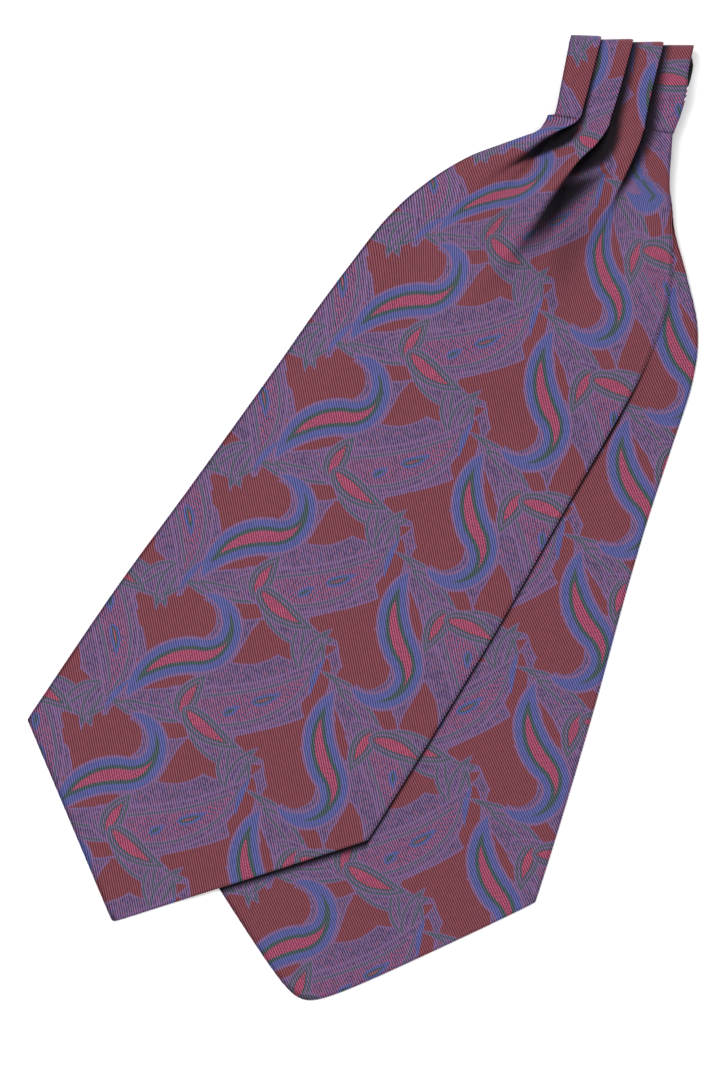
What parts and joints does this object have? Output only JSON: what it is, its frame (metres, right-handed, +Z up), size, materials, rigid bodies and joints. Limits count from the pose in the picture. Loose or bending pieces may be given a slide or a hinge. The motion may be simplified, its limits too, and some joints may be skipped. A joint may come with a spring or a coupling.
{
  "type": "silk cravat",
  "caption": "Pleated silk day cravat laid flat, with its two pointed blades fanned and its neck band folded under.",
  "frame": {"origin": "centre of the overall box, on the surface that the cravat lies on", "axes": "+Z up from the surface, +Y from the blades' points towards the neck fold, +X to the right of someone who looks down on it with the neck fold away from them"},
  "size_m": [0.305, 0.4382, 0.0139],
  "materials": {
    "printed_silk": "silk twill with a soft sheen, printed with an all-over paisley in violet, blue, dark green and red on maroon",
    "silk_in_shade": "the same silk twill, where it lies hidden"
  },
  "bodies": {
    "root": {"front_blade": "printed_silk", "neck_band_pleated": "printed_silk", "back_blade": "printed_silk", "neck_band_tucked": "silk_in_shade"}
  },
  "joints": []
}
